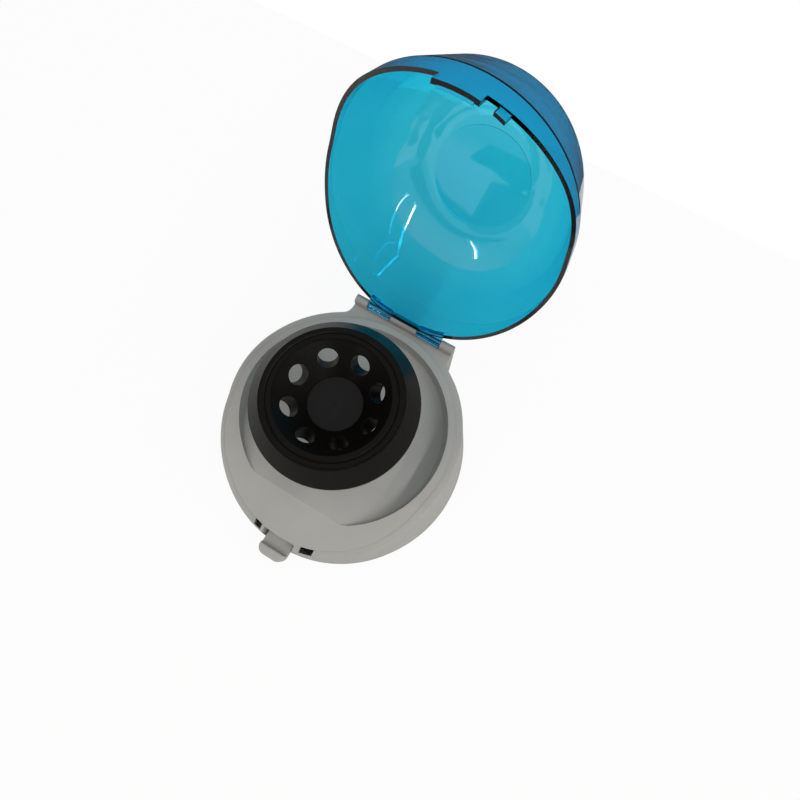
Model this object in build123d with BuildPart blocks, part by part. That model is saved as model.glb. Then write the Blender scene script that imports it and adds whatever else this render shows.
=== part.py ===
"""A mini centrifuge with a domed hinged lid, an eight-place tube rotor and its drive, in millimetres.

The origin is on the rotor's axis at the bench. Z is up, the hinge is at +Y and the release tab at -Y.
The lid is modelled shut and then swung open to its stop.
"""

from build123d import *
from math import asin, cos, radians, sin, sqrt, tan
import os

os.makedirs("parts", exist_ok=True)

# Rotor: the tube holes set its bowl, and each part outside them adds its own width
tube_hole_r = 5.5
tube_circle_r = 22.46
tube_count = 8
tube_first = 39.5
tube_rise = 16.55
bowl_in = 7.76
bowl_out = 7.39
lip_w = 5.8
lip_edge = 0.56
lip_step = 2.2
lip_round = 1.0
groove_in = 3.15
groove_w = 1.4
groove_d = 0.6
shoulder_w = 1.15
skirt_out = 7.7
skirt_drop = 7.75
skirt_band = 2.35
rotor_wall = 2.4
cap_edge = 0.31
hub_cap_t = 1.2
cap_gap = 0.08
cap_dimple_r = 0.7
cap_dimple_h = 0.4
hub_t = 2.6
hub_boss_r = 7.0
hub_boss_h = 3.3
sleeve_wall = 1.6
sleeve_l = 5.0
collet_r = 4.6
collet_flange_r = 5.6
collet_flange_t = 0.5

# Rotor chamber round the rotor
chamber_gap = 15.3
chamber_depth = 14.55
chamber_draft = 8.5
chamber_round = 1.4

# Rim outline, seen from above: a front circle and a rear circle joined by their tangents
rim_margin = 8.7
rim_widening = 2.0
rim_span = 11.5
front_y = -12.0

# Parting line of casing and lid, seen from the side: a low ridge that falls to the front and the back
ridge_y = -19.7
ridge_z = 55.95
front_fall = 28.4
rear_fall = 6.6
ridge_round = 133.0

# Casing wall: how its outlines at the foot and at the top differ from the rim
foot_h = 3.0
foot_out = 8.0
foot_shift = 5.5
foot_span = 2.5
foot_widening = 1.5
top_in = 0.4
top_shift = 3.8
top_span = 7.9
top_widening = 1.5
seam_z = 12.0
wall = 2.6
tray_bevel = 1.4
tray_floor = 2.6
lip_t = 1.2
lip_h = 2.0
lip_gap = 0.2

# Ledge and raised deck
ledge_w = 4.6
deck_rise = 2.8

# Hinge
hinge_out = 1.3
hinge_rise = 3.68
barrel_r = 2.75
hinge_half_w = 34.5
hinge_flare = 7.0
knuckle_in = 9.4
knuckle_out = 25.6
knuckle_gap = 0.2
pin_r = 1.2
pin_fit = 0.04
pin_inset = 0.6
stop_gap = 0.1
stop_t = 1.2
open_angle = 115.0

# Lid: a leaning dome inside the rim outline
lid_inset = 1.2
lid_wall = 2.2
lid_gap = 0.3
lid_headroom = 6.2
lid_back_gap = 3.2
lid_swing = 1.1
dome_low_z = 24.0
dome_out = 6.0
dome_shift = 3.5
dome_span = 9.5
dome_widening = 1.5
dome_lean = 11.7
dome_round = 35.0
lid_tab_t = 2.4
lid_tab_l = 12.0
lid_pad_r = 30.0
lid_pad_rise = 0.4
lid_pad_deep = 6.0
tongue_w = 20.8
tongue_drop = 5.6
rib_w = 16.0
rib_t = 1.0
rib_h = 1.4

# Lug of the lid and the two slots in the ledge
slot_x = 18.6
slot_w = 8.0
left_slot_w = 5.0
left_slot_gap = 0.1
slot_outer = 0.8
slot_inner = 4.4
slot_depth = 10.8
lug_w = 5.4
lug_outer = 2.3
lug_inner = 3.8
lug_drop = 6.4

# Motor tower of the casing
tower_h = 39.2
tower_spread = 2.9
motor_gap = 1.4
tower_plate = 3.0
tower_wall = 2.2
tower_round = 1.8

# Motor
shaft_r = 2.5
running_fit = 0.03
motor_r = 17.0
motor_h = 44.0
damper_t = 1.2
damper_in_r = 7.0
can_wall = 1.3
can_top = 1.5
neck_r = 4.7
neck_h = 3.0
neck_gap = 0.5
bearing_r = 4.0
bearing_h = 4.0
end_cap_t = 3.0
end_boss_r = 5.4
end_boss_h = 3.0
magnet_t = 3.0
magnet_h = 26.0
magnet_span = 130.0
magnet_lift = 10.0
air_gap = 0.5
armature_h = 22.0
pole_count = 5
pole_slot_w = 2.4
pole_slot_d = 5.0
winding_h = 3.6
winding_in_r = 4.2
winding_out_r = 9.6
commutator_r = 4.4
commutator_h = 4.0
brush_w = 2.4
brush_h = 2.8
brush_l = 5.6
brush_gap = 0.06
terminal_x = 13.0
terminal_w = 3.0
terminal_t = 0.6
terminal_drop = 6.0
motor_screw_r = 1.3
motor_screw_circle = 11.0
motor_screw_l = 7.0
motor_head_r = 2.5
motor_head_h = 1.5

# Casing screws and feet
boss_r = 3.6
pad_r = 4.4
pad_h = 2.0
screw_r = 1.45
screw_head_r = 2.7
screw_head_h = 2.0
screw_sink = 0.3
screw_l = 10.0
screw_fit = 0.03
screw_spots = [(52.0, -10.0), (-52.0, -10.0), (32.0, 48.0), (-32.0, 48.0)]
foot_r = 6.0
foot_spots = [(42.0, -44.0), (-42.0, -44.0), (42.0, 40.0), (-42.0, 40.0)]
foot_dish_r = 3.6
foot_dish_h = 0.8
foot_round = 0.8

# Circuit board
board_w = 46.0
board_l = 24.0
board_t = 1.6
board_inset = 26.05
board_z = 13.0
post_r = 2.6
post_dx = 19.0
post_dy = 9.0
small_screw_r = 0.9
small_head_r = 1.9
small_head_h = 1.1
small_screw_l = 5.0

# Power inlet
jack_x = 22.0
jack_z = 25.0
jack_nose_r = 4.4
jack_hole_gap = 0.1
jack_flange_r = 5.6
jack_flange_t = 1.0
jack_bore_r = 2.8
jack_bore_l = 9.0
jack_body_w = 11.0
jack_body_l = 12.0
jack_pin_r = 1.0
jack_pin_l = 8.0

# Lid switch
switch_w = 5.8
switch_l = 12.8
switch_h = 6.5
switch_inset = 9.1
paddle_w = 4.0
paddle_t = 0.8
paddle_inset = 4.5
paddle_gap = 0.2
paddle_travel = 0.8
stem_r = 1.1
stem_inset = 11.5
stem_fit = 0.05
stem_deep = 2.6
switch_board_w = 8.0
switch_board_l = 17.0
switch_post_r = 1.9
switch_screw_inset = 2.3

# Release tab, its keeper and its spring
tab_w = 18.0
tab_t = 4.0
tab_out = 9.7
tab_thumb_l = 5.8
tab_thumb_rise = 4.2
tab_round = 5.0
tab_clear = 0.5
tab_deep = 18.5
tab_side_fit = 0.15
ear_w = 23.6
ear_l = 1.8
ear_gap = 0.05
latch_w = 21.2
latch_cheek = 2.0
latch_back_t = 1.8
latch_window_w = 19.0
hook_w = 8.0
hook_t = 2.2
hook_gap = 0.35
nose_gap = 0.35
nose_h = 1.6
bed_inset = 10.4
bed_w = 26.0
bed_fit = 0.15
keeper_inset = 12.5
keeper_l = 11.0
keeper_t = 1.6
keeper_screw_x = 11.1
spring_r = 1.5
wire_r = 0.25
spring_turns = 6
spring_l = 9.0
spring_gap = 0.1
spring_wall = 2.4

# Leads
lead_r = 0.7
lead_bend = 0.45
lead_apart = 1.4
lead_in = 7.7

# Radii and depths that follow, from the tube holes outwards
hub_cap_r = tube_circle_r - bowl_in
lip_in_r = tube_circle_r + bowl_out
lip_out_r = lip_in_r + lip_w
groove_r = lip_in_r + groove_in
skirt_top_r = lip_out_r + shoulder_w
rotor_r = skirt_top_r + skirt_out
chamber_r = rotor_r + chamber_gap
front_r = chamber_r + rim_margin
rear_r = front_r + rim_widening
rear_y = front_y + rim_span
front_edge_y = front_y - front_r
hinge_y = rear_y + rear_r + hinge_out
back_y = hinge_y + barrel_r
lid_back_y = hinge_y - lid_back_gap
board_y = back_y - board_inset
tower_r = motor_r + motor_gap + tower_wall
tower_foot_r = tower_r + tower_spread
tab_end_y = front_edge_y - tab_out
tab_in_y = front_edge_y + tab_deep
bed_front_y = front_edge_y + bed_inset
keeper_front_y = front_edge_y + keeper_inset
switch_front_y = front_edge_y + switch_inset
paddle_front_y = front_edge_y + paddle_inset
stem_y = front_edge_y + stem_inset
reach = 3 * chamber_r

# Heights that follow, from the parting line upwards
front_slope = tan(radians(front_fall))
rear_slope = tan(radians(rear_fall))
wall_top_z = ridge_z + deck_rise
chamber_z = ridge_z - chamber_depth
tower_top_z = chamber_z + tower_h
tube_circle_z = tower_top_z + tube_rise
rotor_bottom_z = tube_circle_z - skirt_drop
hub_cap_z = tube_circle_z - bowl_in + cap_edge
lip_z = tube_circle_z + bowl_out + lip_edge
lid_top_z = lip_z + lid_headroom + lid_wall
lid_pad_z = lid_top_z + lid_pad_rise


def parting_z(y):
    """Height of the ledge at y."""
    if y > ridge_y:
        return ridge_z - (y - ridge_y) * rear_slope
    return ridge_z - (ridge_y - y) * front_slope


def front_line_y(x, inset):
    """Y of the rim's front edge at x, drawn in by inset."""
    return front_y - sqrt((front_r - inset) ** 2 - x**2)


def hull(small_y, small, large_y, large):
    """Sketch of a front circle and a rear circle joined by their tangents."""
    lean = asin((small - large) / (large_y - small_y))
    front_end = (small * cos(lean), small_y + small * sin(lean))
    rear_end = (large * cos(lean), large_y + large * sin(lean))
    with BuildSketch() as drawn:
        with BuildLine():
            ThreePointArc((-front_end[0], front_end[1]), (0, small_y - small), front_end)
            Line(front_end, rear_end)
            ThreePointArc(rear_end, (0, large_y + large), (-rear_end[0], rear_end[1]))
            Line((-rear_end[0], rear_end[1]), (-front_end[0], front_end[1]))
        make_face()
    return drawn.sketch


def rim(inset):
    """Sketch of the rim outline, drawn in by inset."""
    return hull(front_y, front_r - inset, rear_y, rear_r - inset)


def wall_outline(foot_share, inset):
    """Sketch of the casing with its hinge block, at the foot for a share of 1 and at the top for 0."""
    top_share = 1 - foot_share
    small_y = front_y + foot_share * foot_shift + top_share * top_shift
    small = front_r + foot_share * foot_out - top_share * top_in - inset
    large_y = small_y + foot_share * foot_span + top_share * top_span
    large = small + foot_share * foot_widening + top_share * top_widening
    half = hinge_half_w - inset
    corner_y = large_y + sqrt(large**2 - half**2)
    with BuildSketch() as drawn:
        add(hull(small_y, small, large_y, large))
        with Locations((0, (back_y - inset) / 2)):
            Rectangle(2 * half, back_y - inset)
        at_corner_y = drawn.vertices().filter_by(lambda v: abs(v.Y - corner_y) < 0.01)
        corners = at_corner_y.filter_by(lambda v: abs(abs(v.X) - half) < 0.01)
        fillet(corners, radius=hinge_flare + inset / 2)
    return drawn.sketch


def casing_form(inset):
    """Part with the casing's drafted outer form, drawn in by inset."""
    with BuildPart() as form:
        with BuildSketch(Plane.XY.offset(foot_h)):
            add(wall_outline(1, inset))
        with BuildSketch(Plane.XY.offset(wall_top_z)):
            add(wall_outline(0, inset))
        loft(ruled=True)
    return form.part


def between(form, low, high):
    """Part with what of a form lies between two heights."""
    with BuildPart() as kept:
        add(form)
        with Locations((0, 0, (low + high) / 2)):
            Box(3 * reach, 3 * reach, high - low, mode=Mode.INTERSECT)
    return kept.part


def side_outline(rise):
    """Sketch, to be laid on the YZ plane, of all that is under the parting line raised by rise."""
    front = (-reach, parting_z(-reach) + rise)
    rear = (reach, parting_z(reach) + rise)
    with BuildSketch() as drawn:
        with BuildLine():
            FilletPolyline(front, (ridge_y, ridge_z + rise), rear, radius=ridge_round)
            Polyline(rear, (reach, -reach), (-reach, -reach), front)
        make_face()
    return drawn.sketch


def under_parting(rise):
    """Part with all that is under the parting surface raised by rise."""
    with BuildPart() as below:
        with BuildSketch(Plane.YZ):
            add(side_outline(rise))
        extrude(amount=reach, both=True)
    return below.part


def chamber(thicker):
    """Part with the rotor chamber's space, enlarged by thicker."""
    low = chamber_z - thicker
    high = wall_top_z + 5
    foot = chamber_r + thicker
    mouth = foot + (high - low) * tan(radians(chamber_draft))
    with BuildPart() as space:
        with BuildSketch(Plane.XZ):
            with BuildLine():
                Polyline((0, low), (foot, low), (mouth, high), (0, high), close=True)
            make_face()
            fillet(vertices().sort_by(Axis.X)[-2], radius=chamber_round + thicker)
        revolve(axis=Axis.Z)
    return space.part


def dome(thinner):
    """Part with the lid's form, drawn in by thinner on all sides, from the dome's low outline up."""
    top_z = lid_top_z - thinner
    lean = (top_z - dome_low_z) * tan(radians(dome_lean))
    low = front_r + dome_out - thinner / cos(radians(dome_lean))
    small_y = front_y + dome_shift
    with BuildPart() as form:
        with BuildSketch(Plane.XY.offset(dome_low_z)):
            add(hull(small_y, low, small_y + dome_span, low + dome_widening))
        with BuildSketch(Plane.XY.offset(top_z)):
            add(hull(small_y, low - lean, small_y + dome_span, low - lean + dome_widening))
        loft(ruled=True)
        fillet(form.faces().sort_by(Axis.Z)[-1].edges(), radius=dome_round - thinner)
        with BuildSketch(Plane.XY.offset(dome_low_z - 1)):
            add(rim(lid_inset + thinner))
        extrude(amount=top_z, mode=Mode.INTERSECT)
        with Locations((0, lid_back_y - thinner - reach, 0)):
            Box(2 * reach, 2 * reach, 3 * reach, mode=Mode.INTERSECT)
    return form.part


def screw(head_r, head_h, shank_r, shank_l):
    """Part with a cross-headed screw whose head stands on z = 0 and whose shank hangs below."""
    with BuildPart() as made:
        Cylinder(head_r, head_h, align=(Align.CENTER, Align.CENTER, Align.MIN))
        fillet(made.faces().sort_by(Axis.Z)[-1].edges(), radius=head_h * 0.3)
        Cylinder(shank_r, shank_l, align=(Align.CENTER, Align.CENTER, Align.MAX))
        for turn in (0, 90):
            with Locations(Location((0, 0, head_h * 0.4), (0, 0, turn))):
                Box(
                    head_r * 1.2, head_r * 0.26, head_h, align=(Align.CENTER, Align.CENTER, Align.MIN),
                    mode=Mode.SUBTRACT,
                )
    return made.part


def lead(points):
    """Part with an insulated lead along straight runs with tangent bends."""
    stops = [Vector(*p) for p in points]
    bends = []
    for before, here, after in zip(stops, stops[1:], stops[2:]):
        turn = radians((here - before).get_angle(after - here))
        bends.append(lead_bend * min((here - before).length, (after - here).length) / tan(turn / 2))
    print("lead bend radii", [round(bend, 1) for bend in bends])
    with BuildPart() as made:
        with BuildLine() as path:
            FilletPolyline(*stops, radius=bends)
        with BuildSketch(Plane(origin=path.line @ 0, z_dir=path.line % 0)):
            Circle(lead_r)
        sweep(path=path.line)
    return made.part


# Places that several parts share
hinge_z = parting_z(hinge_y) + hinge_rise
stop_l = hinge_rise - stop_gap
deck_back_y = lid_back_y - lid_wall - lid_swing
tray_top = foot_h + tray_floor
pad_top = tray_top + pad_h
tongue_low = parting_z(front_edge_y) - tongue_drop
tab_top = tongue_low - tab_clear
tab_low = tab_top - tab_t
latch_back_y = front_edge_y + ledge_w
tab_back = tab_in_y + spring_l + 2 * spring_gap
hook_top = tongue_low + rib_h + nose_gap + nose_h
lug_low = parting_z(front_line_y(slot_x, (lug_outer + lug_inner) / 2)) - lug_drop
paddle_top = lug_low - paddle_gap
switch_top = paddle_top - paddle_t - paddle_travel - 0.1
switch_board_z = switch_top - switch_h - board_t
switch_board_back = switch_front_y + switch_board_l
posts = [(x, board_y + y) for x in (-post_dx, post_dx) for y in (-post_dy, post_dy)]
switch_post_ys = (switch_front_y + switch_screw_inset, switch_board_back - switch_screw_inset)
keeper_spots = [(x, keeper_front_y + keeper_l / 2) for x in (-keeper_screw_x, keeper_screw_x)]
bed_top = tab_top + bed_fit

# Base tray: floor, wall and lip, with pads, posts and the bed of the release tab
with BuildPart() as foot_bevel:
    with BuildSketch(Plane.XY.offset(foot_h)):
        add(wall_outline(1, tray_bevel))
    with BuildSketch(Plane.XY.offset(foot_h + 12)):
        add(wall_outline(1, tray_bevel - 12))
    loft(ruled=True)

with BuildPart() as base_tray:
    add(between(casing_form(0), foot_h, seam_z))
    add(foot_bevel.part, mode=Mode.INTERSECT)
    add(between(casing_form(wall + lip_gap), seam_z - 1, seam_z + lip_h))
    add(between(casing_form(wall + lip_gap + lip_t), tray_top, reach), mode=Mode.SUBTRACT)
    with Locations((0, front_edge_y, seam_z)):
        Box(ear_w + 4, 3 * ledge_w, reach, align=(Align.CENTER, Align.CENTER, Align.MIN), mode=Mode.SUBTRACT)
    with Locations((0, bed_front_y, tray_top)):
        Box(
            bed_w, tab_back + spring_wall - bed_front_y, bed_top - tray_top,
            align=(Align.CENTER, Align.MIN, Align.MIN),
        )
    with Locations((0, bed_front_y, tab_low - bed_fit)):
        Box(
            tab_w + 2 * tab_side_fit, tab_back - bed_front_y, reach,
            align=(Align.CENTER, Align.MIN, Align.MIN), mode=Mode.SUBTRACT,
        )
    with BuildSketch(Plane.XY.offset(bed_top)):
        with Locations(*keeper_spots):
            Circle(small_screw_r + screw_fit)
    extrude(amount=-small_screw_l, mode=Mode.SUBTRACT)
    with BuildSketch(Plane.XY.offset(tray_top)):
        with Locations(*screw_spots):
            Circle(pad_r)
    extrude(amount=pad_h)
    with BuildSketch(Plane.XY.offset(tray_top)):
        with Locations(*posts):
            Circle(post_r)
    extrude(amount=board_z - tray_top)
    with BuildSketch(Plane.XY.offset(tray_top)):
        with Locations(*[(slot_x, y) for y in switch_post_ys]):
            Circle(switch_post_r)
    extrude(amount=switch_board_z - tray_top)
    with BuildSketch(Plane.XY.offset(foot_h)):
        with Locations(*screw_spots):
            Circle(screw_head_r + 0.2)
    extrude(amount=screw_sink + screw_head_h, mode=Mode.SUBTRACT)
    with BuildSketch(Plane.XY.offset(foot_h)):
        with Locations(*screw_spots):
            Circle(screw_r + 0.15)
    extrude(amount=pad_top - foot_h, mode=Mode.SUBTRACT)
    with BuildSketch(Plane.XY.offset(board_z)):
        with Locations(*posts):
            Circle(small_screw_r + screw_fit)
    extrude(amount=-small_screw_l, mode=Mode.SUBTRACT)
    with BuildSketch(Plane.XY.offset(switch_board_z)):
        with Locations((slot_x, switch_post_ys[1])):
            Circle(small_screw_r + screw_fit)
    extrude(amount=-small_screw_l, mode=Mode.SUBTRACT)
base_tray.part.label = "base_tray"

# Top cover: drafted wall and ledge, raised deck, rotor chamber, motor tower, hinge ears and latch opening
with BuildPart() as deck:
    with BuildSketch(Plane.XY.offset(seam_z)):
        add(rim(ledge_w))
    extrude(amount=wall_top_z)
    add(under_parting(deck_rise), mode=Mode.INTERSECT)
    with Locations((0, deck_back_y - reach, 0)):
        Box(2 * reach, 2 * reach, 3 * reach, mode=Mode.INTERSECT)

with BuildPart() as deck_hollow:
    with BuildSketch(Plane.XY.offset(seam_z - 1)):
        add(rim(ledge_w + wall))
    extrude(amount=wall_top_z)
    add(under_parting(deck_rise - wall), mode=Mode.INTERSECT)
    with Locations((0, deck_back_y - wall - reach, 0)):
        Box(2 * reach, 2 * reach, 3 * reach, mode=Mode.INTERSECT)

with BuildPart() as cavity:
    add(casing_form(wall))
    add(under_parting(-wall), mode=Mode.INTERSECT)
    add(deck_hollow.part)
    add(chamber(wall), mode=Mode.SUBTRACT)
    with Locations((0, latch_back_y + latch_back_t, seam_z)):
        Box(
            latch_w + 2 * latch_cheek, 2 * reach, reach,
            align=(Align.CENTER, Align.MAX, Align.MIN), mode=Mode.SUBTRACT,
        )

with BuildPart() as top_cover:
    add(between(casing_form(0), seam_z, reach))
    add(under_parting(0), mode=Mode.INTERSECT)
    add(deck.part)
    add(chamber(0), mode=Mode.SUBTRACT)
    add(cavity.part, mode=Mode.SUBTRACT)
    with BuildSketch(Plane.XZ):
        with BuildLine():
            Polyline(
                (0, chamber_z - wall), (tower_foot_r, chamber_z - wall), (tower_foot_r, chamber_z),
                (tower_r, tower_top_z), (0, tower_top_z),
                close=True,
            )
        make_face()
    revolve(axis=Axis.Z)
    fillet(top_cover.edges().filter_by(GeomType.CIRCLE).group_by(Axis.Z)[-1], radius=tower_round)
    with BuildSketch(Plane.XZ):
        with BuildLine():
            Polyline(
                (0, chamber_z - wall - 1), (tower_foot_r - tower_wall, chamber_z - wall - 1),
                (tower_foot_r - tower_wall, chamber_z), (tower_r - tower_wall, tower_top_z - tower_plate),
                (0, tower_top_z - tower_plate),
                close=True,
            )
        make_face()
    revolve(axis=Axis.Z, mode=Mode.SUBTRACT)
    with BuildSketch(Plane.XY.offset(tower_top_z - tower_plate - 1)):
        Circle(neck_r + neck_gap)
        with PolarLocations(motor_screw_circle, 3, 90):
            Circle(motor_screw_r + 0.2)
    extrude(amount=tower_plate + 2, mode=Mode.SUBTRACT)
    with BuildSketch(Plane.XY.offset(pad_top)):
        with Locations(*screw_spots):
            Circle(boss_r)
    extrude(amount=chamber_z - wall / 2 - pad_top)
    with BuildSketch(Plane.XY.offset(pad_top)):
        with Locations(*screw_spots):
            Circle(screw_r + screw_fit)
    extrude(amount=screw_l, mode=Mode.SUBTRACT)
    for low, high in (
        (-hinge_half_w, -knuckle_out - knuckle_gap),
        (-knuckle_in + knuckle_gap, knuckle_in - knuckle_gap),
        (knuckle_out + knuckle_gap, hinge_half_w),
    ):
        with BuildSketch(Plane.YZ.offset(low)):
            with Locations((hinge_y, hinge_z)):
                Circle(barrel_r)
                Rectangle(2 * barrel_r, hinge_z - parting_z(hinge_y) + wall, align=(Align.CENTER, Align.MAX))
        extrude(amount=high - low)
    with BuildSketch(Plane.YZ):
        with Locations((hinge_y, hinge_z)):
            Circle(pin_r + pin_fit)
    extrude(amount=reach, both=True, mode=Mode.SUBTRACT)
    left_slot_x = -(latch_w / 2 + latch_cheek + left_slot_gap + left_slot_w / 2)
    for x, width in ((slot_x, slot_w), (left_slot_x, left_slot_w)):
        with BuildSketch(Plane.XY.offset(parting_z(front_line_y(slot_x, slot_inner)) - slot_depth)):
            add(rim(slot_outer))
            add(rim(slot_inner), mode=Mode.SUBTRACT)
            with Locations((x, front_edge_y)):
                Rectangle(width, front_r, mode=Mode.INTERSECT)
        extrude(amount=slot_depth + deck_rise, mode=Mode.SUBTRACT)
    with Locations((0, latch_back_y, seam_z - 1)):
        Box(latch_w, reach, reach, align=(Align.CENTER, Align.MAX, Align.MIN), mode=Mode.SUBTRACT)
    with Locations((0, latch_back_y + latch_back_t + 1, seam_z - 1)):
        Box(
            latch_window_w, latch_back_t + 2, hook_top + nose_gap - seam_z + 1,
            align=(Align.CENTER, Align.MAX, Align.MIN), mode=Mode.SUBTRACT,
        )
    with BuildSketch(Plane.XZ.offset(-back_y)):
        with Locations((jack_x, jack_z)):
            Circle(jack_nose_r + jack_hole_gap)
    extrude(amount=2 * wall, both=True, mode=Mode.SUBTRACT)
top_cover.part.label = "top_cover"

# Lid, shut first and then turned about the hinge
with BuildPart() as lid_skirt:
    for outer, inner, x, width, low in (
        (lid_inset, lid_inset + lid_wall, 0, tongue_w, tongue_low),
        (lid_inset + lid_wall - 0.1, lid_inset + lid_wall + rib_t, 0, rib_w, tongue_low),
        (lug_outer, lug_inner, slot_x, lug_w, lug_low),
    ):
        with BuildSketch(Plane.XY.offset(low)):
            add(rim(outer))
            add(rim(inner), mode=Mode.SUBTRACT)
            with Locations((x, front_edge_y)):
                Rectangle(width, front_r, mode=Mode.INTERSECT)
        extrude(amount=rib_h if width == rib_w else tongue_drop + 3)

with BuildPart() as lid_shut:
    add(dome(0))
    with BuildSketch(Plane.XY.offset(lid_pad_z)):
        Circle(lid_pad_r)
    extrude(amount=-lid_pad_deep)
    for side in (-1, 1):
        with Locations((side * (knuckle_in + knuckle_out) / 2, hinge_y, hinge_z)):
            Box(
                knuckle_out - knuckle_in - 2 * knuckle_gap, lid_tab_l, lid_tab_t,
                align=(Align.CENTER, Align.MAX, Align.CENTER),
            )
    add(dome(lid_wall), mode=Mode.SUBTRACT)
    add(under_parting(lid_gap), mode=Mode.SUBTRACT)
    add(lid_skirt.part)
    for side in (-1, 1):
        middle = side * (knuckle_in + knuckle_out) / 2
        width = knuckle_out - knuckle_in - 2 * knuckle_gap
        with BuildSketch(Plane.YZ.offset(middle - width / 2)):
            with Locations((hinge_y, hinge_z)):
                Circle(barrel_r)
            with Locations(Location((hinge_y, hinge_z), open_angle - 90)):
                Rectangle(stop_l, stop_t, align=(Align.MIN, Align.CENTER))
        extrude(amount=width)
        with BuildSketch(Plane.YZ.offset(middle - width / 2 - 1)):
            with Locations((hinge_y, hinge_z)):
                Circle(pin_r + pin_fit)
        extrude(amount=width + 2, mode=Mode.SUBTRACT)
lid = lid_shut.part.rotate(Axis((0, hinge_y, hinge_z), (1, 0, 0)), -open_angle)
lid.label = "lid"

with BuildPart() as hinge_pin:
    with Locations(Location((0, hinge_y, hinge_z), (0, 90, 0))):
        Cylinder(pin_r, 2 * (hinge_half_w - pin_inset))
hinge_pin.part.label = "hinge_pin"

# Rotor: skirt, rounded lip, tilted bowl, hub and tube sleeves
bowl_rise = tube_circle_z - tube_circle_r
under_rise = bowl_rise - rotor_wall * sqrt(2)
band_top = rotor_bottom_z + skirt_band
shoulder_z = lip_z - lip_step
hub_floor_z = hub_cap_z - hub_cap_t
hub_under_z = hub_floor_z - hub_t
run = Vector(skirt_top_r - rotor_r, shoulder_z - band_top).normalized()
inner_top = Vector(skirt_top_r, shoulder_z) + Vector(-run.Y, run.X) * rotor_wall
inner_band_z = inner_top.Y + (rotor_r - rotor_wall - inner_top.X) * run.Y / run.X
with BuildPart() as rotor:
    with BuildSketch(Plane.XZ):
        with BuildLine():
            Polyline(
                (rotor_r, rotor_bottom_z), (rotor_r, band_top), (skirt_top_r, shoulder_z),
                (lip_out_r, shoulder_z), (lip_out_r, lip_z),
                (groove_r + groove_w / 2, lip_z), (groove_r, lip_z - groove_d),
                (groove_r - groove_w / 2, lip_z), (lip_in_r, lip_z), (lip_in_r, lip_in_r + bowl_rise),
                (hub_cap_r + cap_gap, hub_cap_r + cap_gap + bowl_rise), (hub_cap_r + cap_gap, hub_floor_z),
                (collet_r, hub_floor_z), (collet_r, hub_under_z - hub_boss_h),
                (hub_boss_r, hub_under_z - hub_boss_h), (hub_boss_r, hub_under_z),
                (hub_under_z - under_rise, hub_under_z),
                (inner_top.Y - under_rise, inner_top.Y), (inner_top.X, inner_top.Y),
                (rotor_r - rotor_wall, inner_band_z), (rotor_r - rotor_wall, rotor_bottom_z),
                close=True,
            )
        make_face()
        at_lip_z = vertices().filter_by(lambda v: abs(v.Z - lip_z) < 0.01)
        fillet(at_lip_z.filter_by(lambda v: abs(v.X - lip_out_r) < 0.01), radius=lip_round)
    revolve(axis=Axis.Z)
    for i in range(tube_count):
        turn = radians(tube_first + 45 * i)
        out = (cos(turn), sin(turn))
        seat = Plane(
            origin=(tube_circle_r * out[0], tube_circle_r * out[1], tube_circle_z),
            x_dir=(-out[1], out[0], 0),
            z_dir=(out[0], out[1], -1),
        )
        with BuildSketch(seat.offset(rotor_wall / 4)):
            Circle(tube_hole_r + sleeve_wall)
        extrude(amount=rotor_wall * 0.75 + sleeve_l)
        with BuildSketch(seat.offset(-4)):
            Circle(tube_hole_r)
        extrude(amount=4 + rotor_wall + sleeve_l + 1, mode=Mode.SUBTRACT)
rotor.part.label = "rotor"

with BuildPart() as rotor_cap:
    with BuildSketch(Plane.XY.offset(hub_floor_z)):
        Circle(hub_cap_r)
    extrude(amount=hub_cap_t)
    chamfer(rotor_cap.faces().sort_by(Axis.Z)[-1].edges(), length=0.3)
    with BuildSketch(Plane.XY.offset(hub_cap_z)):
        Circle(cap_dimple_r)
    extrude(amount=-cap_dimple_h, mode=Mode.SUBTRACT)
rotor_cap.part.label = "rotor_cap"

hub_low_z = hub_under_z - hub_boss_h
with BuildPart() as rotor_collet:
    with BuildSketch(Plane.XY.offset(hub_low_z - collet_flange_t)):
        Circle(collet_flange_r)
    extrude(amount=collet_flange_t)
    with BuildSketch(Plane.XY.offset(hub_low_z)):
        Circle(collet_r)
    extrude(amount=hub_floor_z - hub_low_z)
    with BuildSketch(Plane.XY.offset(hub_low_z - 1)):
        Circle(shaft_r)
    extrude(amount=hub_floor_z, mode=Mode.SUBTRACT)
rotor_collet.part.label = "rotor_collet"

# Motor, hung under the tower's top plate on a rubber ring
motor_top_z = tower_top_z - tower_plate - damper_t
motor_low_z = motor_top_z - motor_h
stack_low_z = motor_low_z + magnet_lift + (magnet_h - armature_h) / 2
stack_top_z = stack_low_z + armature_h
cap_top_z = motor_low_z + end_cap_t
commutator_low_z = stack_low_z - winding_h - 0.4 - commutator_h
can_in_r = motor_r - can_wall
armature_r = can_in_r - running_fit - magnet_t - air_gap
upper_bearing_z = motor_top_z + neck_h - 0.2 - bearing_h
lower_bearing_z = motor_low_z - end_boss_h + 1.0

with BuildPart() as motor_can:
    with BuildSketch(Plane.XY.offset(motor_low_z)):
        Circle(motor_r)
    extrude(amount=motor_h)
    fillet(motor_can.faces().sort_by(Axis.Z)[-1].edges(), radius=0.8)
    with BuildSketch(Plane.XY.offset(motor_low_z)):
        Circle(can_in_r)
    extrude(amount=motor_h - can_top, mode=Mode.SUBTRACT)
    with BuildSketch(Plane.XY.offset(motor_top_z - can_top)):
        Circle(neck_r)
    extrude(amount=can_top + neck_h)
    with BuildSketch(Plane.XY.offset(motor_top_z - can_top - 1)):
        Circle(bearing_r)
        with PolarLocations(motor_screw_circle, 3, 90):
            Circle(motor_screw_r + screw_fit)
    extrude(amount=can_top + neck_h + 2, mode=Mode.SUBTRACT)
motor_can.part.label = "motor_can"

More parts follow.
